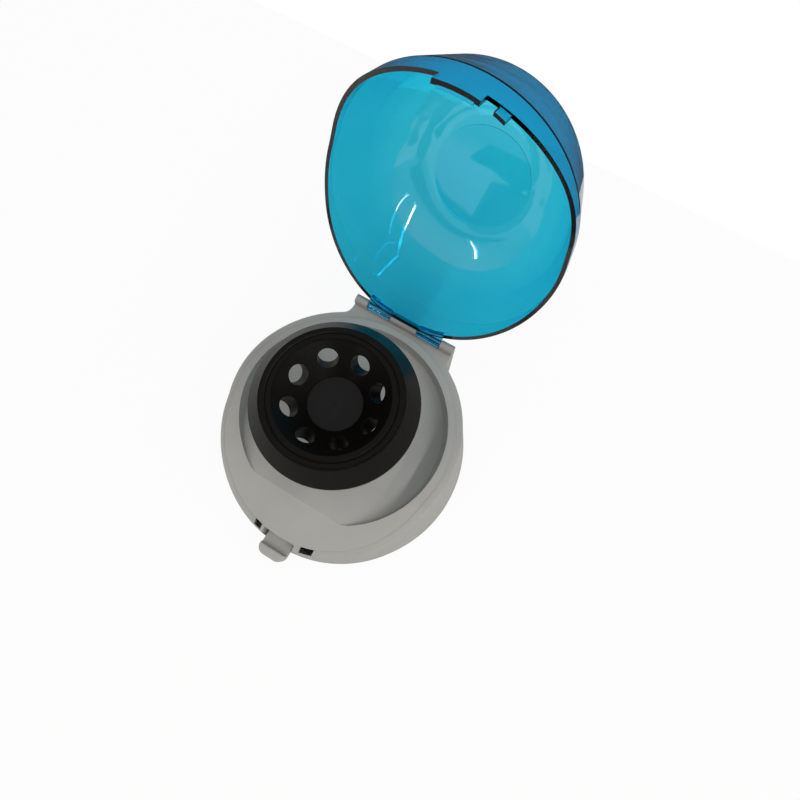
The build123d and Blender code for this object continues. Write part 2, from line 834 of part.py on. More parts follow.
with BuildPart() as motor_end_cap:
    with BuildSketch(Plane.XY.offset(motor_low_z)):
        Circle(can_in_r - running_fit)
    extrude(amount=end_cap_t)
    with BuildSketch(Plane.XY.offset(motor_low_z - end_boss_h)):
        Circle(end_boss_r)
    extrude(amount=end_boss_h)
    with BuildSketch(Plane.XY.offset(lower_bearing_z)):
        Circle(bearing_r)
    extrude(amount=reach, mode=Mode.SUBTRACT)
    for side in (-1, 1):
        with Locations((side * (terminal_x - 3.2), 0, cap_top_z)):
            Box(3.4, brush_w + 2.4, brush_h + 2.6, align=(Align.CENTER, Align.CENTER, Align.MIN))
        with Locations((side * (terminal_x - 3.2), 0, commutator_low_z + commutator_h / 2)):
            Box(5, brush_w + 0.1, brush_h + 0.1, mode=Mode.SUBTRACT)
        with Locations((side * terminal_x, 0, motor_low_z)):
            Box(terminal_t + 0.04, terminal_w + 0.04, 2 * end_cap_t + 1, mode=Mode.SUBTRACT)
motor_end_cap.part.label = "motor_end_cap"

with BuildPart() as motor_bearings:
    for low in (lower_bearing_z, upper_bearing_z):
        with BuildSketch(Plane.XY.offset(low)):
            Circle(bearing_r)
            Circle(shaft_r + running_fit, mode=Mode.SUBTRACT)
        extrude(amount=bearing_h)
motor_bearings.part.label = "motor_bearings"

with BuildPart() as motor_magnets:
    with BuildSketch(Plane.XY.offset(motor_low_z + magnet_lift)):
        Circle(can_in_r - running_fit)
        Circle(armature_r + air_gap, mode=Mode.SUBTRACT)
        half_gap = radians(90 - magnet_span / 2)
        for side in (-1, 1):
            with BuildLine():
                Polyline(
                    (0, 0), (side * motor_r * 2 * cos(half_gap), motor_r * 2 * sin(half_gap)),
                    (side * motor_r * 2 * cos(half_gap), -motor_r * 2 * sin(half_gap)),
                    close=True,
                )
            make_face(mode=Mode.SUBTRACT)
    extrude(amount=magnet_h)
motor_magnets.part.label = "motor_magnets"

with BuildPart() as motor_shaft:
    with BuildSketch(Plane.XY.offset(lower_bearing_z + 0.3)):
        Circle(shaft_r)
    extrude(amount=hub_floor_z - 0.5 - lower_bearing_z - 0.3)
    chamfer(motor_shaft.faces().sort_by(Axis.Z)[-1].edges(), length=0.4)
motor_shaft.part.label = "motor_shaft"

with BuildPart() as motor_armature:
    with BuildSketch(Plane.XY.offset(stack_low_z)):
        Circle(armature_r)
        Circle(shaft_r, mode=Mode.SUBTRACT)
        with PolarLocations(armature_r, pole_count):
            Rectangle(pole_slot_d, pole_slot_w, align=(Align.MAX, Align.CENTER), mode=Mode.SUBTRACT)
            Rectangle(1.0, 1.0, mode=Mode.SUBTRACT)
    extrude(amount=armature_h)
motor_armature.part.label = "motor_armature"

with BuildPart() as motor_windings:
    for low in (stack_low_z - winding_h, stack_top_z):
        with BuildSketch(Plane.XY.offset(low)):
            Circle(winding_out_r)
            Circle(winding_in_r, mode=Mode.SUBTRACT)
        extrude(amount=winding_h)
    with BuildSketch(Plane.XY.offset(stack_low_z - 1)):
        with PolarLocations(armature_r - pole_slot_d + 0.1, pole_count):
            Rectangle(pole_slot_d - 1.0, pole_slot_w - 0.1, align=(Align.MIN, Align.CENTER))
    extrude(amount=armature_h + 2)
motor_windings.part.label = "motor_windings"

with BuildPart() as motor_commutator:
    with BuildSketch(Plane.XY.offset(commutator_low_z)):
        Circle(commutator_r)
        Circle(shaft_r, mode=Mode.SUBTRACT)
        with PolarLocations(commutator_r, pole_count, 18):
            Rectangle(1.2, 0.4, mode=Mode.SUBTRACT)
    extrude(amount=commutator_h)
motor_commutator.part.label = "motor_commutator"

brush_x = commutator_r + brush_gap + brush_l / 2
with BuildPart() as motor_brushes:
    for side in (-1, 1):
        with Locations((side * brush_x, 0, commutator_low_z + commutator_h / 2)):
            Box(brush_l, brush_w, brush_h)
motor_brushes.part.label = "motor_brushes"

with BuildPart() as motor_terminals:
    for side in (-1, 1):
        with Locations((side * terminal_x, 0, motor_low_z - terminal_drop)):
            Box(
                terminal_t, terminal_w, terminal_drop + end_cap_t + 2.0,
                align=(Align.CENTER, Align.CENTER, Align.MIN),
            )
motor_terminals.part.label = "motor_terminals"

motor_screw = screw(motor_head_r, motor_head_h, motor_screw_r, motor_screw_l)
with BuildPart() as motor_screws:
    with PolarLocations(motor_screw_circle, 3, 90):
        add(motor_screw.moved(Location((0, 0, tower_top_z))))
motor_screws.part.label = "motor_screws"

with BuildPart() as motor_damper:
    with BuildSketch(Plane.XY.offset(motor_top_z)):
        Circle(motor_r)
        Circle(damper_in_r, mode=Mode.SUBTRACT)
        with PolarLocations(motor_screw_circle, 3, 90):
            Circle(motor_screw_r + 0.2, mode=Mode.SUBTRACT)
    extrude(amount=damper_t)
motor_damper.part.label = "motor_damper"

# Feet and casing screws
with BuildPart() as rubber_feet:
    with BuildSketch():
        with Locations(*foot_spots):
            Circle(foot_r)
    extrude(amount=foot_h)
    fillet(rubber_feet.faces().group_by(Axis.Z)[0].edges(), radius=foot_round)
    with BuildSketch():
        with Locations(*foot_spots):
            Circle(foot_dish_r)
    extrude(amount=foot_dish_h, mode=Mode.SUBTRACT)
rubber_feet.part.label = "rubber_feet"

upside_down = screw(screw_head_r, screw_head_h, screw_r, screw_l).rotate(Axis.X, 180)
with BuildPart() as casing_screws:
    with Locations(*[(x, y, foot_h + screw_sink + screw_head_h) for x, y in screw_spots]):
        add(upside_down)
casing_screws.part.label = "casing_screws"

# Control board with its parts, and the power inlet in the rear wall
with BuildPart() as control_board:
    with BuildSketch(Plane.XY.offset(board_z)):
        with Locations((0, board_y)):
            RectangleRounded(board_w, board_l, 1.5)
        with Locations(*posts):
            Circle(small_screw_r + 0.15, mode=Mode.SUBTRACT)
    extrude(amount=board_t)
control_board.part.label = "control_board"

board_top = board_z + board_t
with BuildPart() as board_capacitors:
    for x, dy, radius, height in ((-9.0, 4.0, 5.0, 14.0), (1.5, 5.5, 4.0, 11.0), (10.0, 6.5, 3.2, 7.0)):
        with BuildSketch(Plane.XY.offset(board_top)):
            with Locations((x, board_y + dy)):
                Circle(radius)
        extrude(amount=height)
    flat_faces = board_capacitors.faces().filter_by(Plane.XY)
    fillet(flat_faces.filter_by(lambda f: f.center().Z > board_top + 1).edges(), radius=0.6)
board_capacitors.part.label = "board_capacitors"

chips = (
    (-12.0, -6.5, 10.0, 4.6, 13.0),
    (-3.6, -6.5, 6.0, 5.0, 1.8),
    (3.0, -1.8, 5.0, 3.0, 1.2),
)
with BuildPart() as board_chips:
    for x, dy, w, l, h in chips:
        with Locations((x, board_y + dy, board_top)):
            Box(w, l, h, align=(Align.CENTER, Align.CENTER, Align.MIN))
board_chips.part.label = "board_chips"

header_h = 6.0
header_w = 7.0
header_l = 5.4
header_top = board_top + header_h
headers = (
    (3.2, board_y - 8.6, header_w),
    (12.6, board_y - 8.6, header_w),
    (14.4, board_y, header_w),
)
with BuildPart() as board_connectors:
    for x, y, w in headers:
        with Locations((x, y, board_top)):
            Box(w, header_l, header_top - board_top, align=(Align.CENTER, Align.CENTER, Align.MIN))
board_connectors.part.label = "board_connectors"

with BuildPart() as board_screws:
    with Locations(*[(x, y, board_top) for x, y in posts]):
        add(screw(small_head_r, small_head_h, small_screw_r, small_screw_l))
board_screws.part.label = "board_screws"

inner_back_y = back_y - wall
with BuildPart() as power_inlet:
    with Locations((jack_x, inner_back_y, jack_z)):
        Box(jack_body_w, jack_body_l, jack_body_w, align=(Align.CENTER, Align.MAX, Align.CENTER))
    with BuildSketch(Plane.XZ.offset(-inner_back_y)):
        with Locations((jack_x, jack_z)):
            Circle(jack_nose_r)
    extrude(amount=-wall)
    with BuildSketch(Plane.XZ.offset(-back_y)):
        with Locations((jack_x, jack_z)):
            Circle(jack_flange_r)
    extrude(amount=-jack_flange_t)
    with BuildSketch(Plane.XZ.offset(-back_y - jack_flange_t)):
        with Locations((jack_x, jack_z)):
            Circle(jack_bore_r)
    extrude(amount=jack_bore_l, mode=Mode.SUBTRACT)
power_inlet.part.label = "power_inlet"

with BuildPart() as power_inlet_pin:
    with BuildSketch(Plane.XZ.offset(-back_y - jack_flange_t + jack_bore_l)):
        with Locations((jack_x, jack_z)):
            Circle(jack_pin_r)
    extrude(amount=-jack_pin_l)
    fillet(power_inlet_pin.faces().sort_by(Axis.Y)[-1].edges(), radius=0.5)
power_inlet_pin.part.label = "power_inlet_pin"

# Lid switch under the right-hand slot
with BuildPart() as switch_board:
    with BuildSketch(Plane.XY.offset(switch_board_z)):
        with Locations((slot_x, switch_front_y + switch_board_l / 2)):
            RectangleRounded(switch_board_w, switch_board_l, 1.0)
        with Locations((slot_x, switch_post_ys[1])):
            Circle(small_screw_r + 0.15, mode=Mode.SUBTRACT)
    extrude(amount=board_t)
switch_board.part.label = "switch_board"

with BuildPart() as switch_screw:
    with Locations((slot_x, switch_post_ys[1], switch_board_z + board_t)):
        add(screw(small_head_r, small_head_h, small_screw_r, small_screw_l))
switch_screw.part.label = "switch_screw"

with BuildPart() as lid_switch:
    with Locations((slot_x, switch_front_y, switch_board_z + board_t)):
        Box(switch_w, switch_l, switch_h, align=(Align.CENTER, Align.MIN, Align.MIN))
    fillet(lid_switch.edges().filter_by(Axis.Z), radius=0.4)
    with BuildSketch(Plane.XY.offset(switch_top)):
        with Locations((slot_x, stem_y)):
            Circle(stem_r + stem_fit)
    extrude(amount=-stem_deep - paddle_travel - 0.2, mode=Mode.SUBTRACT)
lid_switch.part.label = "lid_switch"

with BuildPart() as lid_switch_plunger:
    with Locations((slot_x, paddle_front_y, paddle_top)):
        Box(
            paddle_w, stem_y + stem_r + 0.6 - paddle_front_y, paddle_t,
            align=(Align.CENTER, Align.MIN, Align.MAX),
        )
    fillet(lid_switch_plunger.edges().filter_by(Axis.Z), radius=0.6)
    with BuildSketch(Plane.XY.offset(paddle_top - paddle_t)):
        with Locations((slot_x, stem_y)):
            Circle(stem_r)
    extrude(amount=-(paddle_travel + 0.1 + stem_deep))
lid_switch_plunger.part.label = "lid_switch_plunger"

# Release tab with its hook, spring and keeper
rib_in_y = front_edge_y + lid_inset + lid_wall + rib_t
with BuildPart() as release_tab:
    with Locations((0, tab_end_y, tab_low)):
        Box(tab_w, tab_in_y - tab_end_y, tab_t, align=(Align.CENTER, Align.MIN, Align.MIN))
    with Locations((0, tab_end_y, tab_low)):
        Box(tab_w, tab_thumb_l, tab_t + tab_thumb_rise, align=(Align.CENTER, Align.MIN, Align.MIN))
    fillet(release_tab.edges().filter_by(Axis.Z).group_by(Axis.Y)[0], radius=tab_round)
    root = release_tab.edges().filter_by(Axis.X).filter_by(
        lambda e: abs(e.center().Z - tab_top) < 0.01 and abs(e.center().Y - tab_end_y - tab_thumb_l) < 0.01
    )
    fillet(root, radius=1.5)
    fillet(release_tab.faces().sort_by(Axis.Z)[-1].edges(), radius=1.2)
    with Locations((0, latch_back_y + latch_back_t + ear_gap, tab_low)):
        Box(ear_w, ear_l, tab_t, align=(Align.CENTER, Align.MIN, Align.MIN))
    with Locations((0, rib_in_y + hook_gap, tab_low)):
        Box(hook_w, hook_t, hook_top - tab_low, align=(Align.CENTER, Align.MIN, Align.MIN))
    with BuildSketch(Plane.YZ.offset(-hook_w / 2)):
        with BuildLine():
            Polyline(
                (rib_in_y + hook_gap, hook_top), (rib_in_y + hook_gap - 0.3, hook_top),
                (rib_in_y - rib_t * 0.7, hook_top - nose_h + 0.5),
                (rib_in_y - rib_t * 0.7, hook_top - nose_h),
                (rib_in_y + hook_gap, hook_top - nose_h),
                close=True,
            )
        make_face()
    extrude(amount=hook_w)
release_tab.part.label = "release_tab"

tab_middle_z = (tab_top + tab_low) / 2
with BuildPart() as tab_spring:
    with BuildLine() as coil:
        Helix(
            (spring_l - 2 * wire_r) / spring_turns, spring_l - 2 * wire_r, spring_r,
            center=(0, tab_in_y + spring_gap + wire_r, tab_middle_z), direction=(0, 1, 0),
        )
    with BuildSketch(Plane(origin=coil.line @ 0, z_dir=coil.line % 0)):
        Circle(wire_r)
    sweep(path=coil.line)
tab_spring.part.label = "tab_spring"

with BuildPart() as tab_keeper:
    with Locations((0, keeper_front_y, bed_top)):
        Box(bed_w, keeper_l, keeper_t, align=(Align.CENTER, Align.MIN, Align.MIN))
    fillet(tab_keeper.edges().filter_by(Axis.Z), radius=1.5)
    with BuildSketch(Plane.XY.offset(bed_top)):
        with Locations(*keeper_spots):
            Circle(small_screw_r + 0.15)
    extrude(amount=keeper_t, mode=Mode.SUBTRACT)
tab_keeper.part.label = "tab_keeper"

with BuildPart() as keeper_screws:
    with Locations(*[(x, y, bed_top + keeper_t) for x, y in keeper_spots]):
        add(screw(small_head_r, small_head_h, small_screw_r, small_screw_l))
keeper_screws.part.label = "keeper_screws"

# Leads
lead_z = board_top + 3.0
header_front = headers[0][1] - header_l / 2
terminal_z = motor_low_z - terminal_drop
with BuildPart() as motor_lead_red:
    add(lead([
        (terminal_x, 0, terminal_z), (terminal_x, 0, terminal_z - 6), (12, 20, terminal_z - 7),
        (headers[0][0] + lead_apart, header_front - lead_in, lead_z),
        (headers[0][0] + lead_apart, header_front, lead_z),
    ]))
motor_lead_red.part.label = "motor_lead_red"

with BuildPart() as motor_lead_black:
    add(lead([
        (-terminal_x, 0, terminal_z), (-terminal_x, 0, terminal_z - 6), (-8, 20, terminal_z - 7),
        (headers[0][0] - lead_apart, header_front - lead_in, lead_z),
        (headers[0][0] - lead_apart, header_front, lead_z),
    ]))
motor_lead_black.part.label = "motor_lead_black"

switch_lead_z = switch_board_z + board_t + lead_r + 0.05
with BuildPart() as switch_leads:
    for side in (-1, 1):
        x = slot_x + side * 2.9
        add(lead([
            (x, switch_board_back - 3.5, switch_lead_z), (x, switch_board_back + 8, switch_lead_z),
            (22 + side * 1.5, -25, 10), (22 + side * 1.5, 18, 10),
            (headers[1][0] + side * lead_apart, header_front - lead_in - 1, lead_z),
            (headers[1][0] + side * lead_apart, header_front, lead_z),
        ]))
switch_leads.part.label = "switch_leads"

jack_inner_y = inner_back_y - jack_body_l
with BuildPart() as inlet_lead_red:
    add(lead([
        (jack_x - 2.2, jack_inner_y, jack_z + 2), (jack_x - 2.2, jack_inner_y - 5, jack_z + 2),
        (headers[2][0] + lead_apart, headers[2][1], jack_z),
        (headers[2][0] + lead_apart, headers[2][1], header_top),
    ]))
inlet_lead_red.part.label = "inlet_lead_red"

with BuildPart() as inlet_lead_black:
    add(lead([
        (jack_x - 2.2, jack_inner_y, jack_z - 2), (jack_x - 2.2, jack_inner_y - 4, jack_z - 2),
        (headers[2][0] - lead_apart, headers[2][1], jack_z - 1),
        (headers[2][0] - lead_apart, headers[2][1], header_top),
    ]))
inlet_lead_black.part.label = "inlet_lead_black"

pieces = [
    base_tray.part, rubber_feet.part, casing_screws.part, top_cover.part, lid, hinge_pin.part,
    rotor.part, rotor_cap.part, rotor_collet.part,
    motor_can.part, motor_end_cap.part, motor_bearings.part, motor_magnets.part, motor_shaft.part,
    motor_armature.part, motor_windings.part, motor_commutator.part, motor_brushes.part,
    motor_terminals.part, motor_screws.part, motor_damper.part,
    control_board.part, board_capacitors.part, board_chips.part, board_connectors.part, board_screws.part,
    power_inlet.part, power_inlet_pin.part,
    switch_board.part, switch_screw.part, lid_switch.part, lid_switch_plunger.part,
    release_tab.part, tab_spring.part, tab_keeper.part, keeper_screws.part,
    motor_lead_red.part, motor_lead_black.part, switch_leads.part,
    inlet_lead_red.part, inlet_lead_black.part,
]
for piece in pieces:
    export_step(piece, "parts/" + piece.label + ".step")
    print(piece.label, round(piece.volume), piece.is_valid)
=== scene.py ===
# %% [markdown]
# # A small bench centrifuge, dressed for its portrait
# The machine is a grey moulded casing with a black eight-hole rotor in a round chamber, under a
# see-through blue lid that stands open. Its solids come from the CAD frame and are never changed
# here. This lesson gives each of them the finish of its real material, winds the motor's copper
# wire, and lights the whole on a pale table.

from math import cos, exp, pi, sin

import bmesh
import bpy
from mathutils import Matrix, Vector


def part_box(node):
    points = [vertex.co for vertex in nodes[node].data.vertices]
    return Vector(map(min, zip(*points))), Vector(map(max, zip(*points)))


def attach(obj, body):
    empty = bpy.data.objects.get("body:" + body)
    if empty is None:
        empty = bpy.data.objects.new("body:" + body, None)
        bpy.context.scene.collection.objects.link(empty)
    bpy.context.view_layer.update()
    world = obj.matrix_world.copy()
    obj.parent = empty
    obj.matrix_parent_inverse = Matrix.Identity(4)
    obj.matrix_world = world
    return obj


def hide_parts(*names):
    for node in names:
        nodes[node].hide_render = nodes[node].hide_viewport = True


MM = 0.001


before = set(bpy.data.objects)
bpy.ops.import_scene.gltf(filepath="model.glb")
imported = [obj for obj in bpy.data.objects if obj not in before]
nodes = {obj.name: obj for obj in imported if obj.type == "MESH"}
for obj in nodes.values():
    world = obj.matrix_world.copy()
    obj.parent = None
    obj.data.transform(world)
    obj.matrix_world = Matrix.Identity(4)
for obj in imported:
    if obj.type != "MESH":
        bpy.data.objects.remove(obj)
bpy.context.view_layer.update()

# %% [markdown]
# ## Colours and nodes
# Colours are written as sRGB hex values, as a paint or plastics maker would give them. Blender's
# shaders work in linear light, so one function turns them over. A second function adds a node
# with its settings and links, which keeps every material a short list of what it is made of.

# %% Colours and nodes
def linear(hex_colour):
    """Linear red, green, blue and 1, from an sRGB hex value."""
    shares = [int(hex_colour[i:i + 2], 16) / 255 for i in (0, 2, 4)]
    return [s / 12.92 if s <= 0.04045 else ((s + 0.055) / 1.055) ** 2.4 for s in shares] + [1.0]


def add_node(tree, kind, inputs=(), **settings):
    """Adds a node, sets its properties, and gives its inputs a value or a link from a socket."""
    made = tree.nodes.new(kind)
    for name, value in settings.items():
        setattr(made, name, value)
    for name, value in dict(inputs).items():
        if isinstance(value, bpy.types.NodeSocket):
            tree.links.new(value, made.inputs[name])
        else:
            made.inputs[name].default_value = value
    return made


def start_material(name, colour, **sockets):
    """A material with one Principled shader, its node tree and that shader."""
    material = bpy.data.materials.new(name)
    material.use_nodes = True
    tree = material.node_tree
    shader = tree.nodes["Principled BSDF"]
    shader.inputs["Base Color"].default_value = linear(colour)
    for socket, value in sockets.items():
        shader.inputs[socket.replace("_", " ")].default_value = value
    return material, tree, shader


def dress(material, *names):
    """Puts the material on these CAD nodes."""
    for name in names:
        nodes[name].data.materials.clear()
        nodes[name].data.materials.append(material)
    print(material.name, "on", ", ".join(names))


print("hex 808080 is", round(linear("808080")[0], 3), "in linear light")

# %% [markdown]
# ## Grain and skin
# No real surface is even. Its tone drifts, and its gloss and relief follow the grain that a mould,
# a tool or dust has left. So each material starts from a height, which is a noise or a wave with
# a real size. Object coordinates are metres here, so a pattern's scale is one over its size in
# metres. A second function turns heights into colour, roughness and bump. A noise seldom leaves
# the middle of its range, so that part alone is spread over the two colours and roughnesses. The
# bump lies over edges that are rounded a little, as a mould or a tumbler leaves them.

# %% Grain and skin
MIDDLE = (0.3, 0.7)
WAVE_RADIANS = 20
EDGE_SAMPLES = 6


def per_size(size_mm):
    """The scale that gives a texture features of about this size."""
    return 1 / (size_mm * MM)


def wave_scale(pitch_mm):
    """The scale that sets a wave's crests this far apart. At scale 1 it turns 20 radians a unit."""
    return per_size(pitch_mm) * 2 * pi / WAVE_RADIANS


def grain(tree, coords, size_mm, detail=2.0, stretch=(1, 1, 1)):
    """Height of a fine grain of that size. A stretch below 1 draws it out along that axis."""
    laid = add_node(tree, "ShaderNodeMapping", {"Vector": coords, "Scale": stretch})
    noise = add_node(
        tree, "ShaderNodeTexNoise",
        {"Vector": laid.outputs[0], "Scale": per_size(size_mm), "Detail": detail, "Roughness": 0.6},
    )
    return noise.outputs["Fac"]


def skin(
    tree, shader, colours, roughness, tone, gloss=None, relief=None, depth_mm=0.0, edge_mm=0.0
):
    """Gives the shader its colour from the height tone, its roughness from gloss, and a bump.

    colours and roughness are pairs, for the low and the high places. Without a gloss of its own
    the roughness follows tone, and without a relief of its own the bump follows gloss.
    """
    gloss = tone if gloss is None else gloss
    relief = gloss if relief is None else relief
    low, high = MIDDLE
    if colours:
        ramp = add_node(tree, "ShaderNodeValToRGB", {"Fac": tone})
        for stop, place, colour in zip(ramp.color_ramp.elements, MIDDLE, colours):
            stop.position = place
            stop.color = linear(colour)
        tree.links.new(ramp.outputs[0], shader.inputs["Base Color"])
    smooth, rough = roughness
    ranged = add_node(tree, "ShaderNodeMapRange", {
        "Value": gloss, "From Min": low, "From Max": high, "To Min": smooth, "To Max": rough,
    })
    tree.links.new(ranged.outputs[0], shader.inputs["Roughness"])
    if depth_mm:
        inputs = {"Height": relief, "Distance": depth_mm * MM, "Strength": 1.0}
        if edge_mm:
            rounded = add_node(
                tree, "ShaderNodeBevel", {"Radius": edge_mm * MM}, samples=EDGE_SAMPLES
            )
            inputs["Normal"] = rounded.outputs[0]
        bump = add_node(tree, "ShaderNodeBump", inputs)
        tree.links.new(bump.outputs[0], shader.inputs["Normal"])


print("a grain of 0.5 mm has the scale", round(per_size(0.5)), "and waves that far apart",
      round(wave_scale(0.5)))

# %% [markdown]
# ## Casing
# The casing's halves and the release tab are injection-moulded ABS in a warm light grey. The
# mould is spark-eroded, so the skin has a fine even grain that scatters light softly, and only
# a broad, weak sheen is left. ABS has an IOR of 1.54. The real grain is about 0.2 mm and would
# vanish at this distance, so it is drawn at 0.45 mm. A slow drift in tone stands for the small
# unevenness in colour that thick and thin walls give. The plate that holds the tab down is out of
# sight and comes from a plainer, shinier mould.

# %% Casing material
MOULD_GRAIN_MM = 0.45
DRIFT_MM = 40


def moulded_abs(name, greys, roughness):
    """ABS whose tone drifts slowly, with gloss and relief that follow the mould's grain."""
    material, tree, shader = start_material(name, greys[1], Roughness=roughness, IOR=1.54)
    coords = add_node(tree, "ShaderNodeTexCoord").outputs["Object"]
    drift = grain(tree, coords, DRIFT_MM, detail=3)
    fine = grain(tree, coords, MOULD_GRAIN_MM)
    skin(
        tree, shader, greys, (roughness - 0.06, roughness + 0.08),
        drift, gloss=fine, depth_mm=0.02, edge_mm=0.35,
    )
    return material


casing_abs = moulded_abs("ABS_moulded_grained_light_grey", ("9E9D99", "A5A4A0"), 0.52)
dress(casing_abs, "base_tray", "top_cover", "release_tab")
dress(moulded_abs("ABS_moulded_plain_grey", ("8F8F8B", "999994"), 0.45), "tab_keeper")

# %% [markdown]
# ## Lid
# The lid is moulded from clear polycarbonate with a blue dye, and its mould is polished, so both
# skins are smooth. A painted blue would look flat. The dye sits in the wall, so light that goes
# through more plastic gets darker: the wall seen face on is a bright cyan blue, and the rim and
# the knuckles, seen along the wall, are deeper. Volume absorption does just that. Its three rates
# per millimetre come from the colour of a 2.2 mm wall over an off-white table. Polycarbonate's IOR
# is 1.585. A very weak, slow waviness stands for the flow of the melt, and faint upright smears
# for wiping.

# %% Lid material
LID_WALL_MM = 2.2
ABSORBED_PER_MM = (1.35, 0.14, 0.035)
FLOW_MM, SMEAR_MM = 14, 9
lid_pc, tree, shader = start_material(
    "polycarbonate_polished_clear_blue", "F4FBFF",
    Roughness=0.03, IOR=1.585, Transmission_Weight=1.0,
)
coords = add_node(tree, "ShaderNodeTexCoord").outputs["Object"]
flow = grain(tree, coords, FLOW_MM, detail=1)
smears = grain(tree, coords, SMEAR_MM, detail=4, stretch=(1, 1, 0.4))
skin(tree, shader, None, (0.02, 0.07), smears, relief=flow, depth_mm=0.05)

# The node takes a colour and a density. The density is a hair above the highest rate, so that
# even red keeps a trace.
density = max(ABSORBED_PER_MM) * 1.01
dye = add_node(tree, "ShaderNodeVolumeAbsorption", {
    "Color": [1 - rate / density for rate in ABSORBED_PER_MM] + [1.0],
    "Density": density / MM,
})
tree.links.new(dye.outputs[0], tree.nodes["Material Output"].inputs["Volume"])
dress(lid_pc, "lid")
print("share of red, green and blue that comes through the wall:",
      [round(exp(-LID_WALL_MM * rate), 3) for rate in ABSORBED_PER_MM])

# %% [markdown]
# ## Rotor and cap
# The rotor is moulded from black polypropylene, which is tough and stands solvents. Its mould is
# lightly polished, so it has a satin skin that shows soft, wide highlights on the lip. Its IOR is
# 1.49, and its specular level is low, because the black stays deep in the photograph. The cap
# over the hub comes from a grained mould and is a lighter, drier charcoal. Fine rings in its
# gloss stand for the marks that the mould maker's lathe leaves on a round part.

# %% Rotor and cap materials
RING_MM = 0.8
rotor_pp, tree, shader = start_material(
    "polypropylene_moulded_satin_black", "0B0A09", IOR=1.49, Specular_IOR_Level=0.1
)
coords = add_node(tree, "ShaderNodeTexCoord").outputs["Object"]
drift, fine = grain(tree, coords, 25), grain(tree, coords, 0.6)
skin(
    tree, shader, ("080706", "0D0B0A"), (0.26, 0.36), drift, gloss=fine, depth_mm=0.01, edge_mm=0.4
)
dress(rotor_pp, "rotor")

cap_pp, tree, shader = start_material(
    "polypropylene_moulded_grained_charcoal", "161616", IOR=1.49, Specular_IOR_Level=0.12
)
coords = add_node(tree, "ShaderNodeTexCoord").outputs["Object"]
fine = grain(tree, coords, 0.5)
lathe_rings = add_node(
    tree, "ShaderNodeTexWave",
    {"Vector": coords, "Scale": wave_scale(RING_MM), "Distortion": 0.4, "Detail": 1.0},
    wave_type="RINGS", rings_direction="Z",
).outputs["Fac"]
skin(
    tree, shader, ("131313", "191919"), (0.5, 0.62),
    fine, gloss=lathe_rings, relief=fine, depth_mm=0.02, edge_mm=0.3,
)
dress(cap_pp, "rotor_cap")

# %% [markdown]
# ## Steel and bronze parts
# Screws and the motor's can are zinc plated, which leaves a soft, slightly cloudy grey shine. The
# hinge pin and the shaft are ground, so they are brighter, with fine scratches along or round
# them. The bearings are sintered bronze that holds oil. The tab's spring is drawn wire. The lid
# switch's plunger is given a near-black tone as painted shade, which keeps its slot dark. One
# function makes them all, from a roughness and from how wide the marks are and which way they
# run. A metal keeps the default IOR.

# %% Steel and bronze materials
EVEN = (1, 1, 1)
ALONG_X = (0.05, 1, 1)
ALONG_Y = (1, 0.1, 1)
ALONG_Z = (1, 1, 0.05)
ROUND_Z = (0.1, 0.1, 1)


def metal(name, colours, roughness, mark_mm, stretch):
    """A metal whose tone, gloss and relief follow the marks of its making."""
    material, tree, shader = start_material(
        name, colours[1], Metallic=1.0, Roughness=roughness
    )
    coords = add_node(tree, "ShaderNodeTexCoord").outputs["Object"]
    marks = grain(tree, coords, mark_mm, detail=4, stretch=stretch)
    skin(
        tree, shader, colours, (roughness - 0.07, roughness + 0.09),
        marks, depth_mm=0.004, edge_mm=0.12,
    )
    return material


ZINC_PLATED = ("casing_screws", "motor_screws", "board_screws", "switch_screw", "keeper_screws")
for name, colours, roughness, mark_mm, stretch, pieces in (
    ("steel_zinc_plated", ("9B9CA0", "B4B5B8"), 0.36, 1.2, EVEN, ZINC_PLATED),
    ("steel_drawn_zinc_plated", ("9C9EA3", "AFB1B6"), 0.33, 0.5, ALONG_Z, ["motor_can"]),
    ("steel_ground_bright", ("A2A2A6", "B9B9BD"), 0.24, 0.2, ALONG_X, ["hinge_pin"]),
    ("steel_ground_shaft", ("ABABAF", "C2C2C6"), 0.2, 0.2, ROUND_Z, ["motor_shaft"]),
    ("bronze_sintered_oiled", ("8A7458", "A08A6A"), 0.38, 0.15, EVEN, ["motor_bearings"]),
    ("steel_spring_wire_drawn", ("A4A4A9", "B8B8BD"), 0.27, 0.3, ALONG_Y, ["tab_spring"]),
    # The plunger's near-black tone is painted shade, for the dark slot it sits behind.
    ("steel_stamped_painted_slot_shade", ("1C1C1E", "2A2A2D"), 0.42, 0.6, EVEN, ["lid_switch_plunger"]),
):
    dress(metal(name, colours, roughness, mark_mm, stretch), *pieces)

# %% [markdown]
# ## Brass, copper and the motor's magnetic parts
# The collet and the terminals are brass, turned or stamped, the inlet's pin is brass under
# nickel, and the commutator is turned copper with a brown film from the brushes. The armature is a
# stack of thin stamped sheets, so fine lines 0.5 mm apart run round it. The magnets are sintered
# ferrite, a dull dark grey that looks like stone, and the brushes are pressed carbon.

# %% Brass, copper, sheet steel, ferrite and carbon
for name, colours, roughness, mark_mm, stretch, piece in (
    ("brass_turned", ("AE8F4B", "C4A662"), 0.26, 0.25, ROUND_Z, "rotor_collet"),
    ("brass_stamped", ("B59A58", "CBB26E"), 0.32, 0.8, EVEN, "motor_terminals"),
    ("brass_nickel_plated", ("B7B2A2", "CFCABB"), 0.22, 0.4, EVEN, "power_inlet_pin"),
    ("copper_turned_filmed", ("9A5A3A", "BC7750"), 0.33, 0.2, ROUND_Z, "motor_commutator"),
):
    dress(metal(name, colours, roughness, mark_mm, stretch), piece)

